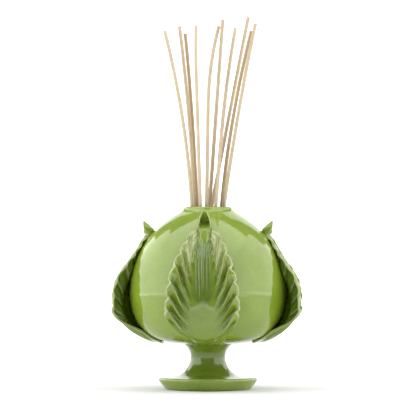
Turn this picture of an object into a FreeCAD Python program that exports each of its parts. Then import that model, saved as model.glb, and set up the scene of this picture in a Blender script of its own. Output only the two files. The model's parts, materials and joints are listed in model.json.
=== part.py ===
import FreeCAD, Part
import math
import os
import Sketcher
from FreeCAD import Placement, Rotation, Vector

doc = FreeCAD.newDocument("reed_diffuser")
sheet = doc.addObject("Spreadsheet::Sheet", "dims")

# Driving dimensions in millimetres and degrees. The globe's outline is a chain of arcs that
# meet smoothly; each arc is given by its radius and by how far it turns up or down from the
# widest level. Cells that start with "=" follow from the others.
DIMENSIONS = [
    ("equator_radius", "63.2"), ("equator_height", "77.7"), ("wall", "5.5"),
    ("shoulder_bend", "69"), ("shoulder_turn", "52"),
    ("collar_bend", "110"), ("collar_turn", "60"),
    ("belly_bend", "60"), ("belly_turn", "17"),
    ("under_bend", "31.5"), ("under_turn", "73"), ("base_bend", "62"),
    ("mouth_radius", "15.5"), ("lip_radius", "17.4"), ("lip_edge", "19.6"),
    ("lip_bend", "3.2"), ("rim_bend", "1.9"), ("mouth_height", "145.6"),
    # outer outline, upwards from the widest level
    ("shoulder_r", "=equator_radius - shoulder_bend * (1 - cos(shoulder_turn * 1deg))"),
    ("shoulder_z", "=equator_height + shoulder_bend * sin(shoulder_turn * 1deg)"),
    ("collar_r", "=shoulder_r - collar_bend * (cos(shoulder_turn * 1deg) - cos(collar_turn * 1deg))"),
    ("collar_z", "=shoulder_z + collar_bend * (sin(collar_turn * 1deg) - sin(shoulder_turn * 1deg))"),
    ("lip_edge_z", "=collar_z + (collar_r - lip_edge) / tan(collar_turn * 1deg)"),
    ("rim_z", "=mouth_height - rim_bend"),
    # outer outline, downwards from the widest level
    ("belly_r", "=equator_radius - belly_bend * (1 - cos(belly_turn * 1deg))"),
    ("belly_z", "=equator_height - belly_bend * sin(belly_turn * 1deg)"),
    ("under_r", "=belly_r - under_bend * (cos(belly_turn * 1deg) - cos(under_turn * 1deg))"),
    ("under_z", "=belly_z - under_bend * (sin(under_turn * 1deg) - sin(belly_turn * 1deg))"),
    ("base_r", "=under_r - base_bend * cos(under_turn * 1deg)"),
    ("base_z", "=under_z - base_bend * (1 - sin(under_turn * 1deg))"),
    # inner outline, one wall inside the outer one
    ("inner_equator_r", "=equator_radius - wall"),
    ("inner_shoulder_bend", "=shoulder_bend - wall"), ("inner_collar_bend", "=collar_bend - wall"),
    ("inner_belly_bend", "=belly_bend - wall"), ("inner_under_bend", "=under_bend - wall"),
    ("inner_base_bend", "=base_bend - wall"),
    ("inner_shoulder_r", "=shoulder_r - wall * cos(shoulder_turn * 1deg)"),
    ("inner_shoulder_z", "=shoulder_z - wall * sin(shoulder_turn * 1deg)"),
    ("inner_collar_r", "=collar_r - wall * cos(collar_turn * 1deg)"),
    ("inner_collar_z", "=collar_z - wall * sin(collar_turn * 1deg)"),
    ("bore_z", "=inner_collar_z + (inner_collar_r - mouth_radius) / tan(collar_turn * 1deg)"),
    ("inner_belly_r", "=belly_r - wall * cos(belly_turn * 1deg)"),
    ("inner_belly_z", "=belly_z + wall * sin(belly_turn * 1deg)"),
    ("inner_under_r", "=under_r - wall * cos(under_turn * 1deg)"),
    ("inner_under_z", "=under_z + wall * sin(under_turn * 1deg)"),
    ("floor_z", "=base_z + wall"),
    # foot
    ("seat_radius", "19.4"), ("seat_edge", "0.5"), ("neck_radius", "13.7"), ("neck_z", "25.7"),
    ("upper_flare", "12.1"), ("lower_flare", "15.6"), ("flare_radius", "24.5"), ("flare_z", "11"),
    ("saucer_dip_radius", "33"), ("saucer_dip_z", "9.1"), ("brim_radius", "37.6"), ("brim_z", "9.8"),
    ("disc_radius", "39.5"), ("disc_z", "7.6"), ("brim_bend", "2.2"),
    ("ring_radius", "34.2"), ("ring_inner", "29"), ("ring_depth", "3.6"), ("disc_bend", "24"),
    ("hollow_radius", "8.6"), ("hollow_flare", "21"), ("hollow_top", "29"), ("hollow_knee", "9"),
    ("seat_under_z", "=base_z - seat_edge"),
    # leaves: free thickness at the edge and what the middle adds to it, least thickness over
    # the globe, film of slip between them, and the depth of the pressed lobes
    ("lobe_count", "7"), ("leaf_thickness", "2.2"), ("middle_thickening", "0.8"),
    ("thinnest", "1.5"), ("slip_gap", "0.25"),
    ("notch_depth", "2.6"), ("flute_depth", "1.7"), ("lip_curl", "1.4"),
    # reeds: reed_rest is how high the middle of a reed's slanted lower end stands over the floor
    ("reed_diameter", "3"), ("reed_rest", "0.9"),
]

# Each reed: where its lower end stands and where its middle crosses the mouth (x, y),
# the height where it stops being straight, the radius of its bow (0 = straight, minus = to the
# left) and the height of its cut top.
REEDS = [
    ((-5.5, -8.1), (-12.5, -4.8), 148, -780, 289.8),
    ((-4.1, -0.8), (-10.7, 3.6), 177, -1800, 291.8),
    ((-5.0, 2.9), (-9.4, 7.6), 148, -2450, 286.2),
    ((-2.2, -10.2), (-5.7, -6.9), 247, 850, 291.0),
    ((-2.2, -5.2), (-0.8, -4.1), 227, 263, 291.4),
    ((-7.1, 12.2), (0.8, 4.7), 237, 0, 295.0),
    ((-0.9, -13.8), (6.5, -5.3), 187, 1100, 290.2),
    ((-17.0, -5.8), (2.7, 1.0), 247, 0, 298.2),
    ((0.4, 11.5), (10.5, 5.2), 148, 924, 289.0),
    ((-1.8, 5.4), (12.8, 0.0), 148, 2130, 293.0),
]

# Each leaf: its name, its heading in degrees from the front, and its reach (1 = full height).
LEAVES = [("leaf_front", 0, 1.0), ("leaf_right", 90, 0.80), ("leaf_back", 180, 0.80),
          ("leaf_left", 270, 0.80)]

# Shares of a leaf's length where the flutes start, where the hooded tip begins and ends, and
# where the back comes free of the globe; and shares of its half width where its flutes deepen
# and where its middle stops being stuck down.
FLUTES_START, HOOD_START, HOOD_FULL = 0.05, 0.86, 0.93
TIP_FREE_FROM, TIP_FREE_AT = 0.90, 0.94
FLUTES_FROM, FLUTES_FULL, LIP_FROM, NOTCH_FROM = 0.25, 0.75, 0.8, 0.4
LUTED_TO, FREE_FROM = 0.22, 0.5

for row, (alias, value) in enumerate(DIMENSIONS, start=1):
    sheet.set("A%d" % row, alias)
    sheet.set("B%d" % row, value)
    sheet.setAlias("B%d" % row, alias)
for row, (foot, mouth, straight, bow, top) in enumerate(REEDS, start=1):
    for column, part, value in zip("DEFGHIJ", ("foot_x", "foot_y", "cross_x", "cross_y", "straight",
                                               "bow", "top"),
                                   foot + mouth + (straight, bow, top)):
        sheet.set("%s%d" % (column, row), str(value))
        sheet.setAlias("%s%d" % (column, row), "reed%d_%s" % (row, part))
doc.recompute()


SIZES = {alias: float(sheet.get(alias)) for alias, value in DIMENSIONS}


def size(alias):
    """Value of one cell of the dimension sheet."""
    return SIZES[alias]


def origin_plane(body, role):
    return next(f for f in body.Origin.OriginFeatures if f.Role == role)


def turned_outline(body, name, corners, arcs):
    """Closed sketch in the XZ plane: corners are (radius, height) cell names, 0 for the axis or
    the ground; arcs gives, for the side that leaves a corner, its radius cell and the side it
    bulges to (1 = to the right of the way of travel)."""
    sketch = body.newObject("Sketcher::SketchObject", name)
    sketch.AttachmentSupport = [(origin_plane(body, "XZ_Plane"), "")]
    sketch.MapMode = "FlatFace"
    points = [Vector(size(r) if r else 0, size(z) if z else 0, 0) for r, z in corners]
    count = len(points)
    ends = []
    for i, start in enumerate(points):
        stop = points[(i + 1) % count]
        if i not in arcs:
            sketch.addGeometry(Part.LineSegment(start, stop), False)
            ends.append((1, 2))
            continue
        radius, side = size(arcs[i][0]), arcs[i][1]
        along = (stop - start).normalize()
        right = Vector(along.y, -along.x, 0)
        half = (stop - start).Length / 2
        centre = (start + stop) / 2 - right * side * math.sqrt(radius ** 2 - half ** 2)
        first, last = (start, stop) if side > 0 else (stop, start)
        angles = [math.atan2(p.y - centre.y, p.x - centre.x) for p in (first, last)]
        if angles[1] < angles[0]:
            angles[1] += 2 * math.pi
        circle = Part.Circle(centre, Vector(0, 0, 1), radius)
        sketch.addGeometry(Part.ArcOfCircle(circle, *angles), False)
        ends.append((1, 2) if side > 0 else (2, 1))
    for i in range(count):
        following = (i + 1) % count
        sketch.addConstraint(Sketcher.Constraint("Coincident", i, ends[i][1],
                                                 following, ends[following][0]))
    for i, (r, z) in enumerate(corners):
        for kind, alias, axis, value in (("DistanceX", r, -2, points[i].x),
                                         ("DistanceY", z, -1, points[i].y)):
            if not alias:
                sketch.addConstraint(Sketcher.Constraint("PointOnObject", i, ends[i][0], axis))
                continue
            number = sketch.addConstraint(Sketcher.Constraint(kind, -1, 1, i, ends[i][0], value))
            sketch.setExpression("Constraints[%d]" % number, "dims.%s" % alias)
        if i in arcs:
            number = sketch.addConstraint(Sketcher.Constraint("Radius", i, size(arcs[i][0])))
            sketch.setExpression("Constraints[%d]" % number, "dims.%s" % arcs[i][0])
    return sketch


def turned_body(name, corners, arcs):
    """Body of revolution about the upright axis."""
    body = doc.addObject("PartDesign::Body", name)
    body.Label = name
    sketch = turned_outline(body, name + "_outline", corners, arcs)
    turned = body.newObject("PartDesign::Revolution", name + "_turned")
    turned.Profile = sketch
    turned.ReferenceAxis = (sketch, ["V_Axis"])
    turned.Angle = 360
    body.Placement = Placement()
    return body


def make_globe():
    """Hollow bowl: flat seat under it, belly, shoulder, rounded lip, then back down inside."""
    corners = [(0, "base_z"), ("base_r", "base_z"), ("under_r", "under_z"), ("belly_r", "belly_z"),
               ("equator_radius", "equator_height"), ("shoulder_r", "shoulder_z"),
               ("collar_r", "collar_z"), ("lip_edge", "lip_edge_z"), ("lip_radius", "mouth_height"),
               ("mouth_radius", "rim_z"), ("mouth_radius", "bore_z"),
               ("inner_collar_r", "inner_collar_z"), ("inner_shoulder_r", "inner_shoulder_z"),
               ("inner_equator_r", "equator_height"), ("inner_belly_r", "inner_belly_z"),
               ("inner_under_r", "inner_under_z"), ("base_r", "floor_z"), (0, "floor_z")]
    arcs = {1: ("base_bend", 1), 2: ("under_bend", 1), 3: ("belly_bend", 1),
            4: ("shoulder_bend", 1), 5: ("collar_bend", 1), 7: ("lip_bend", 1), 8: ("rim_bend", 1),
            11: ("inner_collar_bend", -1), 12: ("inner_shoulder_bend", -1),
            13: ("inner_belly_bend", -1), 14: ("inner_under_bend", -1),
            15: ("inner_base_bend", -1)}
    return turned_body("globe", corners, arcs)


def make_foot():
    """Pedestal: flat seat, waisted stem, saucer disc with a raised brim, hollow underneath."""
    corners = [("ring_inner", 0), ("ring_radius", 0), ("disc_radius", "disc_z"),
               ("brim_radius", "brim_z"), ("saucer_dip_radius", "saucer_dip_z"),
               ("flare_radius", "flare_z"), ("neck_radius", "neck_z"),
               ("seat_radius", "seat_under_z"), ("seat_radius", "base_z"), (0, "base_z"),
               (0, "hollow_top"), ("hollow_radius", "hollow_top"), ("hollow_radius", "hollow_knee"),
               ("hollow_flare", "ring_depth"), ("ring_inner", "ring_depth")]
    arcs = {1: ("disc_bend", 1), 2: ("brim_bend", 1), 5: ("lower_flare", -1),
            6: ("upper_flare", -1)}
    return turned_body("foot", corners, arcs)


def globe_arcs():
    """The globe's outer arcs as (centre radius, centre height, bend, lowest and highest turn)."""
    arcs = []
    for start_r, start_z, bend, way, low, high in (
            ("equator_radius", "equator_height", "shoulder_bend", 1, 0, size("shoulder_turn")),
            ("shoulder_r", "shoulder_z", "collar_bend", 1, size("shoulder_turn"), 90),
            ("equator_radius", "equator_height", "belly_bend", -1, 0, size("belly_turn")),
            ("belly_r", "belly_z", "under_bend", -1, size("belly_turn"), size("under_turn")),
            ("under_r", "under_z", "base_bend", -1, size("under_turn"), 90)):
        turn = math.radians(low)
        arcs.append((size(start_r) - size(bend) * math.cos(turn),
                     size(start_z) - way * size(bend) * math.sin(turn),
                     size(bend), min(way * low, way * high), max(way * low, way * high)))
    return arcs


ARCS = globe_arcs()


def globe_radius(height):
    """Outer radius of the globe at a height."""
    for centre_r, centre_z, bend, low, high in ARCS:
        lift = (height - centre_z) / bend
        if abs(lift) <= 1 and low <= math.degrees(math.asin(lift)) <= high:
            return centre_r + bend * math.sqrt(1 - lift ** 2)
    return size("base_r")


def globe_gap(point):
    """How far a point stands out of the globe, and the way out there (a unit vector)."""
    r = math.hypot(point.x, point.y)
    for centre_r, centre_z, bend, low, high in ARCS:
        over, up = r - centre_r, point.z - centre_z
        if low <= math.degrees(math.atan2(up, over)) <= high:
            length = math.hypot(over, up)
            way = Vector(point.x / r * over / length, point.y / r * over / length, up / length)
            return length - bend, way
    return point.z - size("base_z"), Vector(0, 0, -1)


def smooth(knots, t):
    """Value at t of a smooth curve through the knots (t, value, value, ...)."""
    i = 0
    while i < len(knots) - 2 and t > knots[i + 1][0]:
        i += 1

    def slope(k, j):
        a, b = knots[max(k - 1, 0)], knots[min(k + 1, len(knots) - 1)]
        return (b[j] - a[j]) / (b[0] - a[0])
    t0, t1 = knots[i][0], knots[i + 1][0]
    h, u = t1 - t0, (t - t0) / (t1 - t0)
    return [(2 * u ** 3 - 3 * u ** 2 + 1) * knots[i][j] + (u ** 3 - 2 * u ** 2 + u) * h * slope(i, j)
            + (3 * u ** 2 - 2 * u ** 3) * knots[i + 1][j] + (u ** 3 - u ** 2) * h * slope(i + 1, j)
            for j in range(1, len(knots[0]))]


def ramp(value, low, high):
    u = min(max((value - low) / (high - low), 0), 1)
    return u * u * (3 - 2 * u)


def leaf_lines(reach):
    """Middle line (distance out, height) and side edge (half width, distance out, height) of a
    leaf from its tucked-in end (t = 0) to its hooded tip (t = 1). Above the widest part the
    heights are squeezed by reach, so that a leaf with a smaller reach ends lower down."""
    def high(z):
        return z if z < 100 else 100 + (z - 100) * reach

    def over(z, lift):
        return globe_radius(high(z)) + lift
    sill_r, sill_z = over(129.5, 3.6), high(129.5)
    rise = 11.5 * (0.3 + 0.7 * reach)
    floor_z = sill_z + 0.47 * rise
    middle = [(0.0, 35.5, 36.9), (0.05, 44.6, 37.6), (0.125, 53.4, 41.0), (0.1875, 58.9, 46.0),
              (0.3125, 64.6, 54.0), (0.4375, 67.0, 63.0), (0.5625, 67.6, 73.5), (0.6875, 66.2, 86.5),
              (0.8125, over(101, 3.6), high(101)), (0.87, over(114, 3.2), high(114)),
              (0.92, sill_r, sill_z), (0.955, globe_radius(floor_z) + 1.4, floor_z + 0.3),
              (0.98, sill_r - 2.2, sill_z + 0.75 * rise), (1.0, sill_r + 2.2, sill_z + rise)]
    edge = [(0.0, 12.5, 36.4, 37.6), (0.0625, 27.0, 69.0, 56.0), (0.1875, 28.6, 73.2, 68.2),
            (0.3125, 27.8, 73.2, 79.4), (0.4375, 25.6, 69.6, 90.6), (0.5625, 21.8, 61.6, high(102.8)),
            (0.6875, 17.6, over(112.6, 1.2), high(112.6)), (0.8125, 13.0, over(122.3, 1.6), high(122.3)),
            (0.88, 8.0, over(127.0, 2.2), high(127.0)), (0.92, 4.6, sill_r + 0.6, sill_z + 0.6),
            (0.96, 3.4, sill_r + 1.7, sill_z + 0.5 * rise), (1.0, 1.0, sill_r + 2.4, sill_z + rise)]
    return middle, edge


def leaf_point(lines, across, t):
    """Point (sideways, out, up) of a leaf's visible face; across runs from -1 to 1."""
    middle, edge = lines
    s = abs(across)
    hood = ramp(t, HOOD_START, HOOD_FULL)
    lobes = size("lobe_count") + 1
    ridge = 0.5 + 0.5 * math.cos(2 * math.pi * lobes * t)
    fluted = ramp(t, 0.0, FLUTES_START) * (1 - hood)
    mid_out, mid_up = smooth(middle, t)
    half, edge_out, edge_up = smooth(edge, t)
    side = half * (s * (1 - hood) + math.sin(s * math.pi / 2) ** 0.9 * hood)
    side -= size("notch_depth") * ridge ** 3 * fluted * ramp(s, NOTCH_FROM, 1.0)
    up = mid_up + (edge_up - mid_up) * s ** (1.6 + 0.8 * hood)
    out = mid_out + (edge_out - mid_out) * s ** (1.35 + 1.6 * hood)
    relief = (size("flute_depth") * (ridge - 0.5) * ramp(s, FLUTES_FROM, FLUTES_FULL)
              + size("lip_curl") * (1 - ridge) * ramp(s, LIP_FROM, 1.0)) * fluted
    point = Vector(math.copysign(side, across), out + relief, up)
    gap, way = globe_gap(point)
    thinnest = size("thinnest")
    if gap < thinnest + 1:
        point += way * (thinnest + math.exp(gap - thinnest - 1) - gap)
    return point


def leaf_faces(reach):
    """Grids of points on the visible face and on the back of one leaf."""
    lines = leaf_lines(reach)
    half, foot_rows, body_rows, hood_rows, foot_end, hood_start = 10, 7, 38, 10, 0.075, 0.875
    columns = [math.copysign((abs(k) / half) ** 0.85, k) for k in range(-half, half + 1)]
    rows = [foot_end * k / foot_rows for k in range(foot_rows)]
    rows += [foot_end + (hood_start - foot_end) * k / body_rows for k in range(body_rows)]
    rows += [hood_start + (1 - hood_start) * k / hood_rows for k in range(hood_rows + 1)]
    front, back = [], []
    step = 0.004
    for t in rows:
        front.append([])
        back.append([])
        for a in columns:
            here = leaf_point(lines, a, t)
            a0, a1 = max(a - step, -1), min(a + step, 1)
            t0, t1 = max(t - step, 0), min(t + step, 1)
            over = leaf_point(lines, a1, t) - leaf_point(lines, a0, t)
            along = leaf_point(lines, a, t1) - leaf_point(lines, a, t0)
            inwards = over.cross(along).normalize()
            free = here + inwards * (size("leaf_thickness") + size("middle_thickening") * (1 - abs(a)))
            gap, way = globe_gap(here)
            seated = here - way * (gap - size("slip_gap"))
            luted = (1 - ramp(abs(a), LUTED_TO, FREE_FROM)) * (1 - ramp(t, TIP_FREE_FROM, TIP_FREE_AT))
            behind = free * (1 - luted) + seated * luted
            gap, way = globe_gap(behind)
            if gap < size("slip_gap"):
                behind += way * (size("slip_gap") - gap)
            front[-1].append(here)
            back[-1].append(behind)
    return front, back


def spline_face(grid):
    """Smooth face drawn by a grid of control points, and its four border curves."""
    degree = 3
    counts = (len(grid), len(grid[0]))
    knots = [list(range(count - degree + 1)) for count in counts]
    ends = [[degree + 1] + [1] * (count - degree - 1) + [degree + 1] for count in counts]
    surface = Part.BSplineSurface()
    surface.buildFromPolesMultsKnots([[Vector(p.x, -p.y, p.z) for p in line] for line in grid],
                                     ends[0], ends[1], knots[0], knots[1], False, False,
                                     degree, degree)
    low_u, high_u, low_v, high_v = surface.bounds()
    return surface, [surface.uIso(low_u), surface.uIso(high_u),
                     surface.vIso(low_v), surface.vIso(high_v)]


def make_leaf_solid(reach):
    """Fluted leaf: closed shell between its visible face and its back."""
    (front, front_border), (back, back_border) = [spline_face(grid) for grid in leaf_faces(reach)]
    faces = [front.toShape(), back.toShape()]
    for front_edge, back_edge in zip(front_border, back_border):
        faces.append(Part.makeRuledSurface(front_edge.toShape(), back_edge.toShape()))
    shell = Part.Shell(faces)
    shell.sewShape()
    solid = Part.Solid(Part.Shell(shell.Faces))
    if solid.Volume < 0:
        solid.reverse()
    return solid


def make_leaves():
    """Four leaves a quarter turn apart, their backs a film of slip away from the globe."""
    for name, heading, reach in LEAVES:
        leaf = doc.addObject("Part::Feature", name)
        leaf.Label = name
        leaf.Shape = make_leaf_solid(reach)
        leaf.Placement = Placement(Vector(0, 0, 0), Rotation(Vector(0, 0, 1), heading))


def make_reed(number):
    """Round reed: straight run from its lower end, then one wide bow, swept along its middle."""
    name = "reed_%02d" % number

    def value(part):
        return float(sheet.get("reed%d_%s" % (number, part)))
    rest = size("floor_z") + size("reed_rest")
    foot = Vector(value("foot_x"), value("foot_y"), size("floor_z"))
    mouth = Vector(value("cross_x"), value("cross_y"), size("mouth_height"))
    axis = (mouth - foot).normalize()
    start = foot + axis * ((rest - foot.z) / axis.z)
    run = (value("straight") - rest) / axis.z
    bow = value("bow")
    body = doc.addObject("PartDesign::Body", name)
    body.Label = name
    section = body.newObject("Sketcher::SketchObject", name + "_section")
    section.AttachmentSupport = [(origin_plane(body, "XY_Plane"), "")]
    section.MapMode = "FlatFace"
    section.addGeometry(Part.Circle(Vector(0, 0, 0), Vector(0, 0, 1), size("reed_diameter") / 2), False)
    section.addConstraint(Sketcher.Constraint("Coincident", 0, 3, -1, 1))
    radius = section.addConstraint(Sketcher.Constraint("Radius", 0, size("reed_diameter") / 2))
    section.setExpression("Constraints[%d]" % radius, "dims.reed_diameter / 2")
    rise = (value("top") - value("straight")) / axis.z
    if bow == 0:
        cane = body.newObject("PartDesign::Pad", name + "_cane")
        cane.Profile = section
        cane.Length = run + rise
    else:
        path = body.newObject("Sketcher::SketchObject", name + "_path")
        path.AttachmentSupport = [(origin_plane(body, "XZ_Plane"), "")]
        path.MapMode = "FlatFace"
        bend, turn = abs(bow), rise / abs(bow)
        path.addGeometry(Part.LineSegment(Vector(0, 0, 0), Vector(0, run, 0)), False)
        circle = Part.Circle(Vector(bend, run, 0), Vector(0, 0, 1), bend)
        path.addGeometry(Part.ArcOfCircle(circle, math.pi - turn, math.pi), False)
        path.addConstraint(Sketcher.Constraint("Coincident", 0, 1, -1, 1))
        path.addConstraint(Sketcher.Constraint("Vertical", 0))
        path.addConstraint(Sketcher.Constraint("Tangent", 0, 2, 1, 2))
        path.addConstraint(Sketcher.Constraint("DistanceY", -1, 1, 0, 2, run))
        number_of = path.addConstraint(Sketcher.Constraint("Radius", 1, bend))
        path.setExpression("Constraints[%d]" % number_of, "abs(dims.reed%d_bow)" % number)
        path.addConstraint(Sketcher.Constraint("DistanceY", 0, 2, 1, 1, bend * math.sin(turn)))
        cane = body.newObject("PartDesign::AdditivePipe", name + "_cane")
        cane.Profile = section
        cane.Spine = (path, ["Edge1", "Edge2"])
    # upright +Z turns onto the reed's line; the bow lies in the plane of the line and the x axis
    across = Vector(1 if bow >= 0 else -1, 0, 0)
    bow_way = (across - axis * across.dot(axis)).normalize()
    body.Placement = Placement(start, Rotation(bow_way, axis.cross(bow_way), axis, "ZXY"))


globe = make_globe()
foot = make_foot()
doc.recompute()
make_leaves()
for reed_number in range(1, len(REEDS) + 1):
    make_reed(reed_number)
doc.recompute()

NODES = ["globe", "foot"] + [name for name, heading, reach in LEAVES]
NODES += ["reed_%02d" % number for number in range(1, len(REEDS) + 1)]
os.makedirs("parts", exist_ok=True)
for thing in doc.Objects:
    if "Invalid" in thing.State or "Error" in thing.State:
        raise RuntimeError("%s did not build: %s" % (thing.Name, thing.State))
for node in NODES:
    shape = doc.getObject(node).Shape
    if shape.isNull() or not shape.isValid():
        raise RuntimeError("%s has no valid shape" % node)
    shape.exportStep("parts/%s.step" % node)
    box = shape.BoundBox
    print("%-11s %9.1f mm3  x %.1f..%.1f  y %.1f..%.1f  z %.1f..%.1f" % (
        node, shape.Volume, box.XMin, box.XMax, box.YMin, box.YMax, box.ZMin, box.ZMax))
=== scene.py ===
import bpy
import bmesh
import json
import math
import numpy as np
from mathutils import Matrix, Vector


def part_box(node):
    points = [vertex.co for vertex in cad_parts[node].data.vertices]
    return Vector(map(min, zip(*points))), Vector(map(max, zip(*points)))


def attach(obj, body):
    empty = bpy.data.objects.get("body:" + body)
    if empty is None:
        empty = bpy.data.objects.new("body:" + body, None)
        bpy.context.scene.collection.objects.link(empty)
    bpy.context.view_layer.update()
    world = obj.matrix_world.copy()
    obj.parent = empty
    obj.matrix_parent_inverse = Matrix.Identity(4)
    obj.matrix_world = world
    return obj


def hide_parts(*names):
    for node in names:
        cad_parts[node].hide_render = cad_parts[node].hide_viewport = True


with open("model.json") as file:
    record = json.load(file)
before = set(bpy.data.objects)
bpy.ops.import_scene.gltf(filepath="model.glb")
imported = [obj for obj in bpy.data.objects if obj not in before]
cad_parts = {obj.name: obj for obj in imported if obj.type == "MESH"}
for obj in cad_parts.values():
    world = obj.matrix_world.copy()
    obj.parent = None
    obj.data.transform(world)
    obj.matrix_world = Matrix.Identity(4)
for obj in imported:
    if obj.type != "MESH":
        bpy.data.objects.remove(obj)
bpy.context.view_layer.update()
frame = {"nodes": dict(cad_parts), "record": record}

# The bowl. A hollow bud of fine clay, slip-cast in a plaster mould, with a sponged lip round
# its mouth and a flat seat underneath. One transparent green glaze is poured over the whole
# vessel before the last firing: it breaks thin on sharp edges and pools dark in hollows, and
# shade is painted darker still into the leaves' hollows and backs.
WALL = 0.0055
EQUATOR = (0.0632, 0.0777)
# radius of each arc of the outline, and how many degrees it has turned from the equator at its end
SHOULDER, COLLAR, BELLY, UNDER, BASE = 0.069, 0.110, 0.060, 0.0315, 0.062
SHOULDER_TURN, COLLAR_TURN, BELLY_TURN, UNDER_TURN = 52, 60, 17, 73


def follow(r, z, bend, before, after, way):
    """Where an arc of the outline ends, and its centre."""
    a, b = math.radians(before), math.radians(after)
    centre = (r - bend * math.cos(a), z - way * bend * math.sin(a))
    return (centre[0] + bend * math.cos(b), centre[1] + way * bend * math.sin(b)), centre


shoulder_end, shoulder_centre = follow(*EQUATOR, SHOULDER, 0, SHOULDER_TURN, 1)
collar_end, collar_centre = follow(*shoulder_end, COLLAR, SHOULDER_TURN, COLLAR_TURN, 1)
belly_end, belly_centre = follow(*EQUATOR, BELLY, 0, BELLY_TURN, -1)
under_end, under_centre = follow(*belly_end, UNDER, BELLY_TURN, UNDER_TURN, -1)
base_end, base_centre = follow(*under_end, BASE, UNDER_TURN, 90, -1)
# each arc: centre radius, centre height, radius, and the turns where it begins and ends
ARCS = [(*shoulder_centre, SHOULDER, 0, SHOULDER_TURN), (*collar_centre, COLLAR, SHOULDER_TURN, 90),
        (*belly_centre, BELLY, -BELLY_TURN, 0), (*under_centre, UNDER, -UNDER_TURN, -BELLY_TURN),
        (*base_centre, BASE, -90, -UNDER_TURN)]


def arc(centre_r, centre_z, bend, first, last, steps):
    """Points (radius, height) on an arc, from one turn to another in degrees."""
    turns = np.radians(np.linspace(first, last, steps))
    return [(centre_r + bend * math.cos(a), centre_z + bend * math.sin(a)) for a in turns]


def mesh_object(name, points, faces, marks, body):
    """Smooth mesh with one number per point for each mark, riding on a body."""
    mesh = bpy.data.meshes.new(name)
    mesh.from_pydata([tuple(p) for p in points], [], faces)
    for mark, values in marks.items():
        layer = mesh.attributes.new(mark, "FLOAT", "POINT")
        layer.data.foreach_set("value", np.asarray(values, dtype=float))
    mesh.shade_smooth()
    made = bpy.data.objects.new(name, mesh)
    bpy.context.scene.collection.objects.link(made)
    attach(made, body)
    return made


def turned(name, outline, wear, pool_and_shade, body, sides=288, waver=0.00012):
    """Closed outline of (radius, height) turned about the upright axis, thrown a little uneven."""
    count = len(outline)
    points, faces, marks = [], [], {"wear": [], "pool_and_shade": []}
    for k in range(sides):
        a = 2 * math.pi * k / sides
        for (r, z), w, p in zip(outline, wear, pool_and_shade):
            wave = math.sin(2 * a + 90 * z) + 0.6 * math.sin(3 * a + 1.3 - 160 * z)
            out = r + min(1.0, r / 0.02) * waver * wave
            points.append((out * math.cos(a), out * math.sin(a), z))
            marks["wear"].append(w)
            marks["pool_and_shade"].append(p)
    for k in range(sides):
        here, there = k * count, (k + 1) % sides * count
        for i in range(count):
            j = (i + 1) % count
            faces.append((here + i, there + i, there + j, here + j))
    made = mesh_object(name, points, faces, marks, body)
    shape = bmesh.new()
    shape.from_mesh(made.data)
    bmesh.ops.remove_doubles(shape, verts=shape.verts, dist=1e-6)
    bmesh.ops.recalc_face_normals(shape, faces=shape.faces)
    shape.to_mesh(made.data)
    shape.free()
    return made


def join(links, socket, value):
    """Link another node's output into a socket, or set a plain value on it."""
    if hasattr(value, "is_linked"):
        links.new(value, socket)
    else:
        socket.default_value = value


def ramp(tree, source, stops, blend="EASE"):
    """Colours along a number, as (position, colour) stops."""
    node = tree.nodes.new("ShaderNodeValToRGB")
    node.color_ramp.interpolation = blend
    while len(node.color_ramp.elements) < len(stops):
        node.color_ramp.elements.new(0.5)
    for element, (position, colour) in zip(node.color_ramp.elements, stops):
        element.position = position
        element.color = (*colour, 1)
    tree.links.new(source, node.inputs["Fac"])
    return node.outputs["Color"]


def mix(tree, kind, amount, first, second):
    """Two colours mixed by an amount, with MIX or MULTIPLY."""
    node = tree.nodes.new("ShaderNodeMix")
    node.data_type = "RGBA"
    node.blend_type = kind
    join(tree.links, node.inputs[0], amount)
    join(tree.links, node.inputs[6], first)
    join(tree.links, node.inputs[7], second)
    return node.outputs[2]


def sums(tree, kind, first, second):
    """Two numbers multiplied, or added or subtracted and kept between 0 and 1."""
    node = tree.nodes.new("ShaderNodeMath")
    node.operation = kind
    node.use_clamp = kind != "MULTIPLY"
    join(tree.links, node.inputs[0], first)
    join(tree.links, node.inputs[1], second)
    return node.outputs[0]


def mark(tree, called):
    """A number that each point of a mesh carries."""
    node = tree.nodes.new("ShaderNodeAttribute")
    node.attribute_name = called
    return node.outputs["Fac"]


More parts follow.
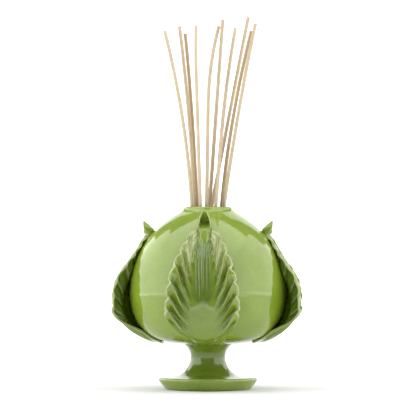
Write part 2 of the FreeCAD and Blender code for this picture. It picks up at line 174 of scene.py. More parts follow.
def green_glaze(name):
    """Glossy transparent green glaze: mottled, thin and brown on edges, dark where it pools and where
    shade is painted in.
    """
    made = bpy.data.materials.new(name)
    made.use_nodes = True
    tree = made.node_tree
    nodes, links = tree.nodes, tree.links
    shader = nodes["Principled BSDF"]
    shader.inputs["IOR"].default_value = 1.62
    shader.inputs["Specular IOR Level"].default_value = 0.62
    place = nodes.new("ShaderNodeTexCoord")

    def noise(scale, detail):
        node = nodes.new("ShaderNodeTexNoise")
        node.inputs["Scale"].default_value = scale
        node.inputs["Detail"].default_value = detail
        links.new(place.outputs["Object"], node.inputs["Vector"])
        return node.outputs["Fac"]

    def bump(strength, distance, height):
        node = nodes.new("ShaderNodeBump")
        node.inputs["Strength"].default_value = strength
        node.inputs["Distance"].default_value = distance
        links.new(height, node.inputs["Height"])
        return node

    # even coat, drifting between a yellower and a greener green over a few centimetres
    coat = ramp(tree, noise(34, 3), [(0.3, (0.195, 0.288, 0.020)), (0.7, (0.240, 0.335, 0.030))])
    # fine cloudy mottling, and dark iron specks
    clouds = ramp(tree, noise(420, 4), [(0.35, (0.8, 0.84, 0.7)), (0.65, (1, 1, 1))])
    coat = mix(tree, "MULTIPLY", 0.35, coat, clouds)
    specks = ramp(tree, noise(1500, 1), [(0.73, (0, 0, 0)), (0.79, (1, 1, 1))])
    coat = mix(tree, "MIX", sums(tree, "MULTIPLY", specks, 0.35), coat, (0.07, 0.06, 0.012, 1))
    # pooled glaze is thick and dark, and the same mark paints shade into the leaves' hollows and
    # backs; where it runs thin, iron browns it and then the clay shows
    # dark green from the pool-and-shade mark: pooled glaze plus painted shade
    coat = mix(tree, "MIX", mark(tree, "pool_and_shade"), coat, (0.045, 0.090, 0.001, 1))
    uneven = sums(tree, "MULTIPLY", sums(tree, "SUBTRACT", noise(260, 3), 0.42), 0.35)
    worn = sums(tree, "ADD", mark(tree, "wear"), uneven)
    thin = ramp(tree, worn, [(0.38, (0, 0, 0)), (0.50, (0.65, 0.65, 0.65)), (1.0, (0.9, 0.9, 0.9))])
    clay = ramp(tree, worn, [(0.46, (0.27, 0.19, 0.035)), (0.58, (0.29, 0.36, 0.11)),
                             (0.80, (0.38, 0.43, 0.18)), (0.97, (0.62, 0.55, 0.38))])
    links.new(mix(tree, "MIX", thin, coat, clay), shader.inputs["Base Color"])
    rough = nodes.new("ShaderNodeMapRange")
    rough.inputs["To Min"].default_value = 0.045
    rough.inputs["To Max"].default_value = 0.11
    links.new(noise(90, 2), rough.inputs["Value"])
    links.new(rough.outputs["Result"], shader.inputs["Roughness"])
    # the glaze flowed and set: a slow ripple with a faint orange-peel on it
    ripple = bump(0.25, 0.0006, noise(75, 2))
    peel = bump(0.10, 0.0002, noise(650, 2))
    links.new(ripple.outputs["Normal"], peel.inputs["Normal"])
    links.new(peel.outputs["Normal"], shader.inputs["Normal"])
    return made


glaze = green_glaze("green_glaze")
seat_z = base_end[1]
mouth_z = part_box("globe")[1][2]
# radii of the lip's outer edge, of its crown and of the mouth inside it
LIP_EDGE, LIP, MOUTH = 0.0196, 0.0174, 0.0155
slope = math.tan(math.radians(COLLAR_TURN))
lip_edge = (LIP_EDGE, collar_end[1] + (collar_end[0] - LIP_EDGE) / slope)
outline = [(0, seat_z), (0.012, seat_z)] + arc(*base_centre, BASE, -90, -UNDER_TURN, 8)
outline += arc(*under_centre, UNDER, -UNDER_TURN, -BELLY_TURN, 30)[1:]
outline += arc(*belly_centre, BELLY, -BELLY_TURN, 0, 14)[1:]
outline += arc(*shoulder_centre, SHOULDER, 0, SHOULDER_TURN, 36)[1:]
outline += arc(*collar_centre, COLLAR, SHOULDER_TURN, COLLAR_TURN, 10)[1:]
outline += [lip_edge, (0.0193, mouth_z - 0.0012), (0.0186, mouth_z - 0.0004), (LIP, mouth_z),
            (0.0163, mouth_z - 0.0004), (0.0157, mouth_z - 0.0012), (MOUTH, mouth_z - 0.0022)]
outer = len(outline)
outline += [(MOUTH, mouth_z - 0.0064), (0.0181, 0.1376)]
outline += arc(*collar_centre, COLLAR - WALL, COLLAR_TURN, SHOULDER_TURN, 8)
outline += arc(*shoulder_centre, SHOULDER - WALL, SHOULDER_TURN, 0, 26)[1:]
outline += arc(*belly_centre, BELLY - WALL, 0, -BELLY_TURN, 8)[1:]
outline += arc(*under_centre, UNDER - WALL, -BELLY_TURN, -UNDER_TURN, 20)[1:]
outline += arc(*base_centre, BASE - WALL, -UNDER_TURN, -90, 6)[1:] + [(0, seat_z + WALL)]
# the glaze is thin on the lip's crown, and the bowl is made darker low down, round the foot
wear = [0.30 if LIP - 0.001 < r < LIP + 0.0012 and i < outer and z > mouth_z - 0.001 else 0.0
        for i, (r, z) in enumerate(outline)]
pool_and_shade = [0.35 if i < outer and z < 0.041 else 0.0 for i, (r, z) in enumerate(outline)]
bowl = turned("bowl", outline, wear, pool_and_shade, "vessel")
bowl.data.materials.append(glaze)
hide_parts("globe")

# The foot. A waisted stem on a saucer-shaped disc, turned from the same clay and luted with
# slip to the seat under the bowl. It is hollow underneath and stands on a narrow ring that is
# wiped clean of glaze, so that it doesn't stick to the kiln shelf.
NECK = (0.0137, 0.0257)
FLARE = (0.0245, 0.0110)
STEM_HOLE = 0.0086
stem_top = 0.0194
ring_in, ring_out = 0.029, 0.0342
brim, disc = (0.0376, 0.0098), (0.0395, 0.0076)


def between(first, last, bend, side, steps):
    """Points on an arc from one corner to another; side 1 bulges to the right of the way."""
    (r0, z0), (r1, z1) = first, last
    along = Vector((r1 - r0, z1 - z0))
    right = Vector((along.y, -along.x)).normalized()
    half = along.length / 2
    centre = Vector((r0 + r1, z0 + z1)) / 2 - right * side * math.sqrt(bend ** 2 - half ** 2)
    start = math.atan2(z0 - centre.y, r0 - centre.x)
    stop = math.atan2(z1 - centre.y, r1 - centre.x)
    while (stop - start) * side < 0:
        stop += side * 2 * math.pi
    return [(centre.x + bend * math.cos(a), centre.y + bend * math.sin(a))
            for a in np.linspace(start, stop, steps)]


profile = [(0, 0.029), (0.0070, 0.029), (STEM_HOLE, 0.0275), (STEM_HOLE, 0.010), (0.0100, 0.0085),
           (0.021, 0.0036), (0.0278, 0.0036), (0.0288, 0.0028), (ring_in, 0.0006),
           (ring_in + 0.0006, 0)]
profile += [(ring_out - 0.0008, 0), (ring_out + 0.0002, 0.0006)]
profile += between((ring_out + 0.0006, 0.0014), disc, 0.024, 1, 8)[1:]
profile += between(disc, brim, 0.0022, 1, 8)[1:]
profile += [(0.0358, 0.0094), (0.033, 0.0091), (0.029, 0.0098)]
profile += between(FLARE, NECK, 0.0156, -1, 24)
profile += between(NECK, (stem_top, seat_z - 0.0005), 0.0121, -1, 16)[1:]
profile += [(stem_top, seat_z), (0, seat_z)]
# worn on the disc's brim and bare on the standing ring; darker up the stem and in the disc's dish
foot_wear = [0.60 if math.hypot(r - brim[0] - 0.0010, z - brim[1] + 0.0002) < 0.0014 else
             0.40 if math.hypot(r - brim[0], z - brim[1]) < 0.0026 else
             1.0 if z < 0.0005 else 0.0 for r, z in profile]
foot_darker = [0.38 - 0.15 * abs(z - 0.018) / 0.018 if r < 0.034 and z > 0.009 and i > 20 else 0.0
             for i, (r, z) in enumerate(profile)]
pedestal = turned("pedestal", profile, foot_wear, foot_darker, "vessel", 224)
pedestal.data.materials.append(glaze)
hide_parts("foot")

# The leaves. Four acanthus leaves pressed from a mould in fine clay, each luted by its middle
# to the bowl with its lobes left free and its tip pinched into a little hood. The front one is
# set a little higher than the others. All sizes in this section are in millimetres.
LOBES = 8
LEAF_THICK, THINNEST, SLIP, PRESSED_IN = 2.2, 1.5, 0.25, 0.3
# shares of the leaf's length where its tucked-in end stops, and where the hood starts and is full
TUCKED, HOOD_FROM, HOOD_FULL = 0.1, 0.86, 0.93
# how far the flutes fan out, and how deep the mould cuts the pattern
FAN, NOTCH, TROUGH, RIDGE, LIP_ROLL = 0.22, 2.4, 1.8, 1.6, 1.1
VEIN, RIB, RIB_PITCH, CURL = 0.34, 0.24, 2.5, 0.55
TUCK_ROWS, FACE_ROWS, HOOD_ROWS = 40, 200, 62
ACROSS, BACK_ACROSS, RIM = 121, 31, 5


def step(value, low, high):
    """Soft step from 0 at low to 1 at high."""
    u = np.clip((value - low) / (high - low), 0, 1)
    return u * u * (3 - 2 * u)


def smooth(knots, t):
    """Smooth curve through the knots (t, value, value, ...), at each t."""
    knots = np.array(knots, dtype=float)
    i = np.clip(np.searchsorted(knots[:, 0], t, side="left") - 1, 0, len(knots) - 2)
    last = len(knots) - 1

    def slope(k):
        a, b = knots[np.maximum(k - 1, 0)], knots[np.minimum(k + 1, last)]
        return (b[:, 1:] - a[:, 1:]) / (b[:, :1] - a[:, :1])

    h = (knots[i + 1, 0] - knots[i, 0])[:, None]
    u = (t[:, None] - knots[i, :1]) / h
    return ((2 * u ** 3 - 3 * u ** 2 + 1) * knots[i, 1:] + (u ** 3 - 2 * u ** 2 + u) * h * slope(i)
            + (3 * u ** 2 - 2 * u ** 3) * knots[i + 1, 1:] + (u ** 3 - u ** 2) * h * slope(i + 1)).T


def bowl_radius(z):
    """Outer radius of the bowl at a height."""
    for r0, z0, bend, low, high in ARCS:
        lift = (z / 1000 - z0) / bend
        if abs(lift) <= 1 and low <= math.degrees(math.asin(lift)) <= high:
            return 1000 * (r0 + bend * math.sqrt(1 - lift ** 2))
    return 1000 * base_end[0]


def bowl_gap(points):
    """How far points stand out of the bowl, and the way out at each."""
    x, y, z = points
    r = np.hypot(x, y)
    gap, way = z * 0 + 9, np.zeros_like(points)
    way[2] = -1
    for r0, z0, bend, low, high in ARCS:
        over, up = r - 1000 * r0, z - 1000 * z0
        turn = np.degrees(np.arctan2(up, over))
        here = (turn >= low) & (turn <= high)
        length = np.hypot(over, up)
        gap = np.where(here, length - 1000 * bend, gap)
        there = np.array([x / r * over / length, y / r * over / length, up / length])
        way = np.where(here, there, way)
    return gap, way


def leaf_lines(reach):
    """Middle line (t, distance out, height) and side edge (t, half width, distance out, height)
    from the tucked-in end to the hooded tip; a smaller reach squeezes the upper part."""
    def high(z):
        return z if z < 100 else 100 + (z - 100) * reach

    def over(z, lift):
        return bowl_radius(high(z)) + lift

    sill_r, sill_z = over(129.5, 3.6), high(129.5)
    rise = 11.5 * (0.3 + 0.7 * reach)
    floor_z = sill_z + 0.36 * rise
    middle = [(0.0, 35.5, 36.9), (0.05, 44.6, 37.6), (0.125, 53.4, 41.0), (0.1875, 58.9, 46.0),
              (0.3125, 64.6, 54.0), (0.4375, 67.0, 63.0), (0.5625, 67.6, 73.5), (0.6875, 66.2, 86.5),
              (0.8125, over(101, 3.6), high(101)), (0.87, over(114, 3.2), high(114)),
              (0.92, sill_r, sill_z), (0.955, bowl_radius(floor_z) + 2.4, floor_z + 0.2),
              (0.98, sill_r - 1.9, sill_z + 0.66 * rise), (1.0, sill_r + 2.2, sill_z + rise)]
    edge = [(0.0, 12.5, 36.4, 37.6), (0.0625, 27.0, 69.0, 56.0), (0.1875, 28.6, 73.2, 68.2),
            (0.3125, 27.8, 73.2, 79.4), (0.4375, 25.6, 69.6, 90.6), (0.5625, 21.8, 61.6, high(102.8)),
            (0.6875, 17.6, over(112.6, 1.2), high(112.6)),
            (0.8125, 13.0, over(122.3, 1.6), high(122.3)),
            (0.88, 8.0, over(127.0, 2.2), high(127.0)), (0.92, 4.6, sill_r + 0.6, sill_z + 0.6),
            (0.96, 3.4, sill_r + 1.7, sill_z + 0.5 * rise), (1.0, 1.0, sill_r + 2.4, sill_z + rise)]
    return middle, edge


def face_grid():
    """Share of the way up, of the way across (-1 to 1) and out from the middle, at every point
    of the visible face. The rows are closer in the tucked-in end and in the hood."""
    t = np.concatenate([np.linspace(0, TUCKED, TUCK_ROWS),
                        np.linspace(TUCKED, HOOD_FROM, FACE_ROWS)[1:],
                        np.linspace(HOOD_FROM, 1, HOOD_ROWS)[1:]])
    a = np.linspace(-1, 1, ACROSS)
    return t[:, None] + 0 * a, a + 0 * t[:, None], np.abs(a) + 0 * t[:, None]


def flutes(T, A, S, chance):
    """Where the flutes run. They fan out from the lower middle, fade at the tucked-in end and
    towards the hood, and every lobe is pressed a little differently."""
    hood = step(T, HOOD_FROM, HOOD_FULL)
    fluted = step(T, 0.0, 0.05) * (1 - hood)
    fan = T / (1 - FAN * (1 - S) ** 1.2)
    inside = 1 - step(fan, 0.95, 1.04)
    drift = np.interp(LOBES * fan + (A > 0) * 20, np.arange(40), chance.uniform(-1, 1, 40))
    phase = 2 * math.pi * (LOBES * fan + 0.08 * drift * step(S, 0.2, 0.6))
    return hood, fluted, inside, drift, phase


def cupped(T, A, S, reach, hood, fluted, drift):
    """The leaf before the pattern is pressed in: half width, way sideways without and with the
    notches between the lobes, distance out and height."""
    middle, edge = leaf_lines(reach)
    mid_out, mid_up = [v[:, None] for v in smooth(middle, T[:, 0])]
    half, edge_out, edge_up = [v[:, None] for v in smooth(edge, T[:, 0])]
    even = half * (S * (1 - hood) + np.sin(S * math.pi / 2) ** 0.9 * hood)
    rim_drift = np.where(A > 0, drift[:, -1:], drift[:, :1])
    notch = (0.5 + 0.5 * np.cos(2 * math.pi * (LOBES * T + 0.08 * rim_drift))) ** 2.4
    side = even - (NOTCH + 0.6 * rim_drift) * notch * fluted * step(S, 0.4, 1.0)
    side = side * (1 - 0.010 * (1 + rim_drift) * step(S, 0.5, 1))
    up = mid_up + (edge_up - mid_up) * S ** (1.6 + 0.8 * hood)
    out = mid_out + (edge_out - mid_out) * S ** (1.35 + 1.6 * hood)
    return half, even, side, out, up


def pressed(T, A, S, half, side, fluted, inside, drift, phase):
    """How far the pattern stands out of the cupped leaf, with its troughs and veins by themselves."""
    ridge = 0.5 + 0.5 * np.cos(phase)
    sharp = ridge ** 2
    # a trough down each lobe, deepest just inside its rolled lip, and the lip itself
    width = np.clip(half / 22, 0.42, 1)
    inner = 0.22 + 0.22 * step(T, 0.25, 0.6)
    sunk = TROUGH * width * step(S, inner + 0.10, 0.78) * (1 - step(S, 0.84, 0.98)) * fluted * inside
    relief = RIDGE * width * (sharp - 0.38) * step(S, inner, 0.70) * fluted * inside
    relief = relief - sunk * (1 - sharp)
    lip = LIP_ROLL * (1 - ridge) * step(S, 0.82, 1.0) + 0.4 * step(S, 0.86, 0.98)
    relief = relief + lip * fluted * (0.4 + 0.6 * width)
    # fine veins combed along the ridges, and upright ribs in the middle
    veins = np.cos(4 * phase + 1.5 * drift) * (0.35 + 0.65 * ridge) * inside * fluted
    veins = VEIN * width * veins * step(S, inner, inner + 0.25)
    veins = veins * (1 - step(S, 0.84, 0.93)) * (1 - step(T, 0.60, 0.80))
    ribs = np.cos(2 * math.pi * side * np.sign(A) / RIB_PITCH + 1.1 * np.sin(9 * T))
    ribs = RIB * (0.5 + 0.5 * ribs) ** 2 * (1 - step(side, 4.0, 8.0))
    relief = relief + veins + ribs * step(T, 0.42, 0.60) * (1 - step(T, 0.84, 0.9))
    # small curls along the upper edge, under the hood
    curls = np.cos(2 * math.pi * (4.6 * S - 17 * T) + drift)
    curls = CURL * curls * np.cos(2 * math.pi * (2.2 * S + 13 * T) - 2 * drift)
    curls = curls * step(T, 0.78, 0.84) * (1 - step(T, 0.89, 0.92)) * step(S, 0.15, 0.45)
    return relief + curls, sunk, veins


def off_bowl(points, least, blend):
    """Points eased outwards until they stand at least this far out of the bowl."""
    gap, way = bowl_gap(points)
    near = least + blend
    eased = least + blend * np.exp(np.minimum((gap - near) / blend, 0))
    return points + way * np.where(gap < near, eased - gap, 0)


def leaf_back(front, plain, inwards, T, S, ridge, fluted, sunk):
    """The back, patted smooth. The middle and the hood's root are pressed into the slip on the
    bowl, and the free lobes keep a film's width away from it."""
    at_rim = step(S, 0.86, 1.0)
    thick = (1.9 + sunk) * (1 - at_rim) + LEAF_THICK * at_rim - 1.2 * (1 - ridge) * fluted * at_rim
    free = plain + inwards * thick * (1 - 0.45 * step(T, 0.93, 0.97))
    gap, way = bowl_gap(front)
    seated = front - way * (gap + PRESSED_IN)
    luted = (1 - step(S, 0.22, 0.5)) * (1 - step(T, 0.95, 0.98))
    luted = np.maximum(luted, step(T, 0.84, 0.89) * (1 - step(T, 0.935, 0.965)))
    behind = free * (1 - luted) + seated * luted
    gap, way = bowl_gap(behind)
    behind = behind + way * np.maximum(SLIP - (SLIP + PRESSED_IN) * luted - gap, 0)
    depth = -((front - behind) * inwards).sum(axis=0)
    return behind + inwards * np.maximum(0.7 - depth, 0)


def rounded(first, second, outward):
    """Half round of points over the leaf's rim, from its first line of points to its second."""
    middle_of, half_of = (first + second) / 2, (first - second) / 2
    thick = np.linalg.norm(half_of, axis=0)
    ways = outward / np.linalg.norm(outward, axis=0)
    turns = np.linspace(0, math.pi, RIM + 2)[1:-1]
    return np.stack([middle_of + half_of * math.cos(u) + ways * thick * 0.9 * math.sin(u)
                     for u in turns], axis=2)


def glaze_on_face(front, T, S, hood, fluted, inside, ridge, drift, veins):
    """Glaze breaks on the rim and on the crests of the ridges, and pools in the troughs, down the
    middle and in the hood, where painted shade darkens it further. Returns how worn it is, and how
    dark with pooled glaze and painted shade."""
    spread = np.linalg.norm(np.gradient(front, axis=2), axis=0)
    to_side = np.cumsum(spread[:, ::-1], axis=1)[:, ::-1]
    to_side = np.minimum(to_side, np.cumsum(spread, axis=1))
    crest = ridge ** 8 * step(S, 0.30, 0.60) * (0.40 + 0.08 * drift + 0.16 * step(T, 0.45, 0.70))
    crest = (crest + 0.18 * np.clip(veins / 0.3, 0, 1)) * inside * fluted
    # the outer part of the upper lobes is made paler, and its troughs less dark
    paler_outer_lobes = step(S, 0.46, 0.74) * step(T, 0.48, 0.66) * (1 - hood)
    worn = np.maximum(0.80 * np.exp(-(to_side / 1.2) ** 2), crest)
    worn = np.maximum(worn, paler_outer_lobes * (0.63 + 0.12 * ridge))
    # troughs, the middle, the inner half and the hood turn dark green: pooled glaze plus painted shade
    # in these hollows
    pooled_and_shaded = (1 - ridge ** 1.5) * step(S, 0.20, 0.50) * (1 - step(S, 0.84, 0.97)) * fluted * inside
    pooled_and_shaded = pooled_and_shaded * (0.36 + 0.34 * step(T, 0.22, 0.45)) * (1 - 0.5 * paler_outer_lobes)
    centre = 0.66 * (1 - step(S, 0.20, 0.66)) * step(T, 0.47, 0.53) * (1 - step(T, 0.86, 0.90))
    pooled_and_shaded = np.maximum(pooled_and_shaded, centre)
    pooled_and_shaded = np.maximum(pooled_and_shaded, 0.25 * (1 - hood) * (1 - step(S, 0.5, 0.9)))
    pooled_and_shaded = np.maximum(pooled_and_shaded, hood * (1 - step(S, 0.55, 0.95)) * 0.05 * step(T, 0.92, 0.95))
    return worn, pooled_and_shaded


def leaf(name, node, heading, reach, seed):
    """One pressed leaf: visible face, rounded rim and back, hand-finished a little unevenly."""
    T, A, S = face_grid()
    hood, fluted, inside, drift, phase = flutes(T, A, S, np.random.default_rng(seed))
    ridge = 0.5 + 0.5 * np.cos(phase)
    half, even, side, out, up = cupped(T, A, S, reach, hood, fluted, drift)
    relief, sunk, veins = pressed(T, A, S, half, side, fluted, inside, drift, phase)
    smooth_face = np.array([even * np.sign(A), out, up])
    inwards = np.cross(np.gradient(smooth_face, axis=2), np.gradient(smooth_face, axis=1), axis=0)
    inwards = inwards / np.linalg.norm(inwards, axis=0)
    plain = off_bowl(np.array([side * np.sign(A), out, up]), THINNEST, 1)
    front = off_bowl(plain - inwards * relief, 1.0, 0.3)
    behind = leaf_back(front, plain, inwards, T, S, ridge, fluted, sunk)
    # rings of points: across the face, round one rim, back behind and round the other rim
    right = rounded(front[:, :, -1], behind[:, :, -1], front[:, :, -1] - front[:, :, -2])
    left = rounded(behind[:, :, 0], front[:, :, 0], front[:, :, 0] - front[:, :, 1])
    pick = np.linspace(0, ACROSS - 1, BACK_ACROSS).astype(int)
    ring = np.concatenate([front, right, behind[:, :, pick[::-1]], left], axis=2)
    rows, count = ring.shape[1:]
    worn, pooled_and_shaded = glaze_on_face(front, T, S, hood, fluted, inside, ridge, drift, veins)
    rim_worn, bare_rim = np.full((rows, RIM), 0.78), np.zeros((rows, RIM))
    back = np.zeros((rows, BACK_ACROSS))
    # the back below the hood, turned to the bowl, is darkened: thick pooled glaze plus painted shade
    # where the bowl shuts out the light
    pooled_and_shaded_back = back + 0.82 * (1 - step(T[:, :1], 0.84, 0.92))
    wear = np.concatenate([worn, rim_worn, back, rim_worn], axis=1)
    pool_and_shade = np.concatenate([pooled_and_shaded, bare_rim, pooled_and_shaded_back, bare_rim], axis=1)
    x, y, z = ring * 0.001
    cos, sin = math.cos(math.radians(heading)), math.sin(math.radians(heading))
    points = np.stack([x * cos + y * sin, x * sin - y * cos, z], axis=2).reshape(-1, 3)
    faces = [(i * count + j, i * count + (j + 1) % count,
              (i + 1) * count + (j + 1) % count, (i + 1) * count + j)
             for i in range(rows - 1) for j in range(count)]
    faces.append(tuple(range(count))[::-1])
    faces.append(tuple((rows - 1) * count + j for j in range(count)))
    made = mesh_object(name, points, faces, {"wear": wear.ravel(), "pool_and_shade": pool_and_shade.ravel()}, "vessel")
    made.data.materials.append(glaze)
    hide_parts(node)


leaf("acanthus_front", "leaf_front", 0, 1.0, 3)
leaf("acanthus_right", "leaf_right", 90, 0.80, 5)
leaf("acanthus_back", "leaf_back", 180, 0.80, 7)
leaf("acanthus_left", "leaf_left", 270, 0.80, 11)

# The reeds. Ten loose sticks of raw rattan, split from the peeled vine, scraped round and cut
# square with a knife. They stand on the bowl's floor and lean on its lip, and some have kept
# the bow of the vine.
REED_RADIUS, REED_SIDES = 0.0015, 28
# height in mm where each stops being straight, radius of its bow in mm (minus bows to the left,
# 0 is straight), and tone from dark 0 to pale 1, where the darkest, on reeds 3 and 9, also paint
# the shadow that the reeds in front cast on them
REEDS = [(148, -780, 0.75), (177, -1800, 0.55), (148, -2450, 0.15), (247, 850, 0.85), (227, 263, 0.70),
         (237, 0, 0.50), (187, 1100, 0.80), (247, 0, 0.60), (148, 924, 0.20), (148, 2130, 0.65)]


def rattan(name):
    """Raw rattan: pale and dark threads that run along the stick, with dark pores between."""
    made = bpy.data.materials.new(name)
    made.use_nodes = True
    tree = made.node_tree
    nodes, links = tree.nodes, tree.links
    shader = nodes["Principled BSDF"]
    shader.inputs["Roughness"].default_value = 0.62
    shader.inputs["Specular IOR Level"].default_value = 0.35
    wrap = nodes.new("ShaderNodeUVMap")
    wrap.uv_map = "wrap"

    def fibres(across, lengthways, detail):
        stretch = nodes.new("ShaderNodeMapping")
        stretch.inputs["Scale"].default_value = (across, lengthways, 1)
        links.new(wrap.outputs["UV"], stretch.inputs["Vector"])
        node = nodes.new("ShaderNodeTexNoise")
        node.inputs["Scale"].default_value = 1
        node.inputs["Detail"].default_value = detail
        links.new(stretch.outputs["Vector"], node.inputs["Vector"])
        return node.outputs["Fac"]

    def tones(source, dark, pale):
        return ramp(tree, source, [dark, pale], "LINEAR")

    # each reed's own tone, with painted shadow on reeds 3 and 9, which stand behind other reeds
    cane = tones(mark(tree, "tone_and_shadow"), (0.0, (0.50, 0.38, 0.24)), (1.0, (0.80, 0.71, 0.54)))
    threads = tones(fibres(9000, 60, 3), (0.35, (0.62, 0.55, 0.45)), (0.6, (1, 1, 1)))
    cane = mix(tree, "MULTIPLY", 0.6, cane, threads)
    streaks = tones(fibres(700, 22, 2), (0.3, (0.78, 0.70, 0.60)), (0.7, (1, 1, 1)))
    cane = mix(tree, "MULTIPLY", 0.5, cane, streaks)
    pores = tones(fibres(16000, 150, 1), (0.66, (0, 0, 0)), (0.72, (1, 1, 1)))
    cane = mix(tree, "MIX", pores, cane, (0.36, 0.25, 0.14, 1))
    links.new(cane, shader.inputs["Base Color"])
    grain = nodes.new("ShaderNodeBump")
    grain.inputs["Strength"].default_value = 0.5
    grain.inputs["Distance"].default_value = 0.0001
    links.new(fibres(9000, 60, 3), grain.inputs["Height"])
    links.new(grain.outputs["Normal"], shader.inputs["Normal"])
    return made


cane = rattan("raw_rattan")
joints = frame["record"]["behaviour"]["joints"]
lifts = {joint["child"]: Vector(joint["axis"]).normalized() for joint in joints}
for number, (straight, bow, tone_and_shadow) in enumerate(REEDS, start=1):
    node = "reed_%02d" % number
    axis = lifts[node]
    corners = [v.co.copy() for v in frame["nodes"][node].data.vertices]
    lowest = min(c.dot(axis) for c in corners)
    end = [c for c in corners if c.dot(axis) < lowest + 0.00003]
    foot = sum(end, Vector()) / len(end)
    run = (straight / 1000 - foot.z) / axis.z
    rest = (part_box(node)[1][2] - REED_RADIUS * 0.15 - straight / 1000) / axis.z
    across = Vector((1 if bow >= 0 else -1, 0, 0))
    across = (across - axis * across.dot(axis)).normalized()
    other = axis.cross(across)
    turn = rest / abs(bow / 1000) if bow else 0
    stations = [(run * k / 24, 0) for k in range(24)] + [(run, k / 24) for k in range(25)]
    chance = np.random.default_rng(number)
    knots = chance.uniform(-1, 1, 12)
    points, uvs, length = [], [], run + rest
    for up, share in stations:
        if bow:
            bend, u = abs(bow / 1000), turn * share
            centre = foot + axis * (up + bend * math.sin(u)) + across * bend * (1 - math.cos(u))
            lean = across * math.cos(u) - axis * math.sin(u)
        else:
            centre, lean = foot + axis * (up + rest * share), across
        at = up + rest * share
        thick = REED_RADIUS * (0.972 + 0.022 * np.interp(at / length * 11, np.arange(12), knots))
        for k in range(REED_SIDES):
            a = 2 * math.pi * k / REED_SIDES
            oval = 1 + 0.012 * math.cos(2 * a + number)
            points.append(centre + (lean * math.cos(a) + other * math.sin(a)) * thick * oval)
            uvs.append((a * REED_RADIUS, at))
    faces = []
    for ring in range(len(stations) - 1):
        here, there = ring * REED_SIDES, (ring + 1) * REED_SIDES
        for k in range(REED_SIDES):
            j = (k + 1) % REED_SIDES
            faces.append((here + k, here + j, there + j, there + k))
    faces.append(tuple(range(REED_SIDES))[::-1])
    faces.append(tuple(there + k for k in range(REED_SIDES)))
    shades = {"tone_and_shadow": [tone_and_shadow] * len(points)}
    stick = mesh_object("rattan_reed_%02d" % number, points, faces, shades, node)
    layer = stick.data.uv_layers.new(name="wrap")
    for loop in stick.data.loops:
        layer.data[loop.index].uv = uvs[loop.vertex_index]
    for face in stick.data.polygons[-2:]:
        face.use_smooth = False
    stick.data.materials.append(cane)
    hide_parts(node)

# The setting. A wide pale floor, and on it white paper: one sheet under the vessel, one in front
# of it, and one that starts behind it and sweeps up into a backdrop. A tent of soft boxes stands
# to the left, to the right and overhead, and is open towards the lens.
FLOOR, BELOW, TABLE, NEAR, FAR = 9.0, 0.002, 3.0, 0.45, 1.0
TENT, TENT_HIGH = 1.15, 1.58
SWEEP_WIDE, SWEEP_FROM, SWEEP_BEND, BACKDROP = 1.6, 2.4, 0.9, 4.3
sweep_line = [(FAR, 0)]
sweep_line += [(SWEEP_FROM + SWEEP_BEND * math.sin(a), SWEEP_BEND * (1 - math.cos(a)))
               for a in np.linspace(0, math.pi / 2, 24)]
sweep_line += [(SWEEP_FROM + SWEEP_BEND, BACKDROP)]


def paper(name, half_width, line, glow, white=0.92):
    """A strip of plain white paper along a line of (distance back, height)."""
    sheet = bpy.data.meshes.new(name)
    sheet.from_pydata([(x, y, z) for y, z in line for x in (-half_width, half_width)], [],
                      [(2 * i, 2 * i + 1, 2 * i + 3, 2 * i + 2) for i in range(len(line) - 1)])
    sheet.shade_smooth()
    made = bpy.data.objects.new(name, sheet)
    bpy.context.scene.collection.objects.link(made)
    coating = bpy.data.materials.new(name)
    coating.use_nodes = True
    shader = coating.node_tree.nodes["Principled BSDF"]
    shader.inputs["Base Color"].default_value = (white, white, white, 1)
    shader.inputs["Roughness"].default_value = 0.9
    shader.inputs["Specular IOR Level"].default_value = 0.1
    shader.inputs["Emission Color"].default_value = (1, 1, 1, 1)
    shader.inputs["Emission Strength"].default_value = glow
    sheet.materials.append(coating)


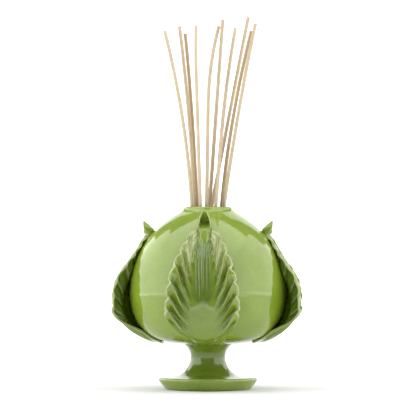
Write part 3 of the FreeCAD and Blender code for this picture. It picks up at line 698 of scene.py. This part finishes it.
paper("floor_paper", FLOOR, [(-FLOOR, -BELOW), (FLOOR, -BELOW)], 0.85)
paper("table_paper", TENT, [(-NEAR, 0), (FAR, 0)], 0.0, 0.84)
paper("front_paper", TABLE, [(-TABLE, 0), (-NEAR, 0)], 0.6)
paper("sweep_paper", SWEEP_WIDE, sweep_line, 0.95)

world = bpy.data.worlds.new("studio")
bpy.context.scene.world = world
world.use_nodes = True
world.node_tree.nodes["Background"].inputs["Color"].default_value = (1, 1, 1, 1)
world.node_tree.nodes["Background"].inputs["Strength"].default_value = 0.25


def soft_box(name, place, target, width, height, glow):
    """Soft box of an even glow; width runs across and height up or away."""
    light = bpy.data.lights.new(name, "AREA")
    light.shape = "RECTANGLE"
    light.size, light.size_y, light.energy = width, height, glow * math.pi * width * height
    lamp = bpy.data.objects.new(name, light)
    bpy.context.scene.collection.objects.link(lamp)
    lamp.location = place
    lamp.rotation_euler = (Vector(target) - Vector(place)).to_track_quat("-Z", "Y").to_euler()


for side, way, glow, back_glow in (("left", -1, 1.95, 2.35), ("right", 1, 1.65, 2.1)):
    soft_box("box_" + side, (way * TENT, -0.05, 0.80), (0, -0.05, 0.80), 2 * TENT, 1.56, glow)
    soft_box("box_%s_back" % side, (way * TENT, 1.40, 0.52), (0, 1.40, 0.52), 0.6, 1.0, back_glow)
soft_box("box_top", (0, 0.205, TENT_HIGH), (0, 0.2051, 0), 2 * TENT, 0.81, 2.0)
for side, x in (("left", -0.70), ("right", 0.70)):
    soft_box("box_top_" + side, (x, -0.70, TENT_HIGH), (x, -0.6999, 0), 0.9, 1.0, 2.0)
bpy.context.scene.view_settings.view_transform = "Standard"

LENS, SENSOR = 211, 36
CAMERA_FAR, CAMERA_HIGH, AIM_HIGH = 1.95, 0.113, 0.1446
camera_turn = math.radians(3.5)
camera = bpy.data.cameras.new("camera")
camera.lens = LENS
camera.sensor_width = SENSOR
camera_object = bpy.data.objects.new("camera", camera)
bpy.context.scene.collection.objects.link(camera_object)
camera_object.location = (CAMERA_FAR * math.sin(camera_turn), -CAMERA_FAR * math.cos(camera_turn),
                          CAMERA_HIGH)
aim = Vector((0, 0, AIM_HIGH)) - camera_object.location
camera_object.rotation_euler = aim.to_track_quat("-Z", "Y").to_euler()
bpy.context.scene.camera = camera_object
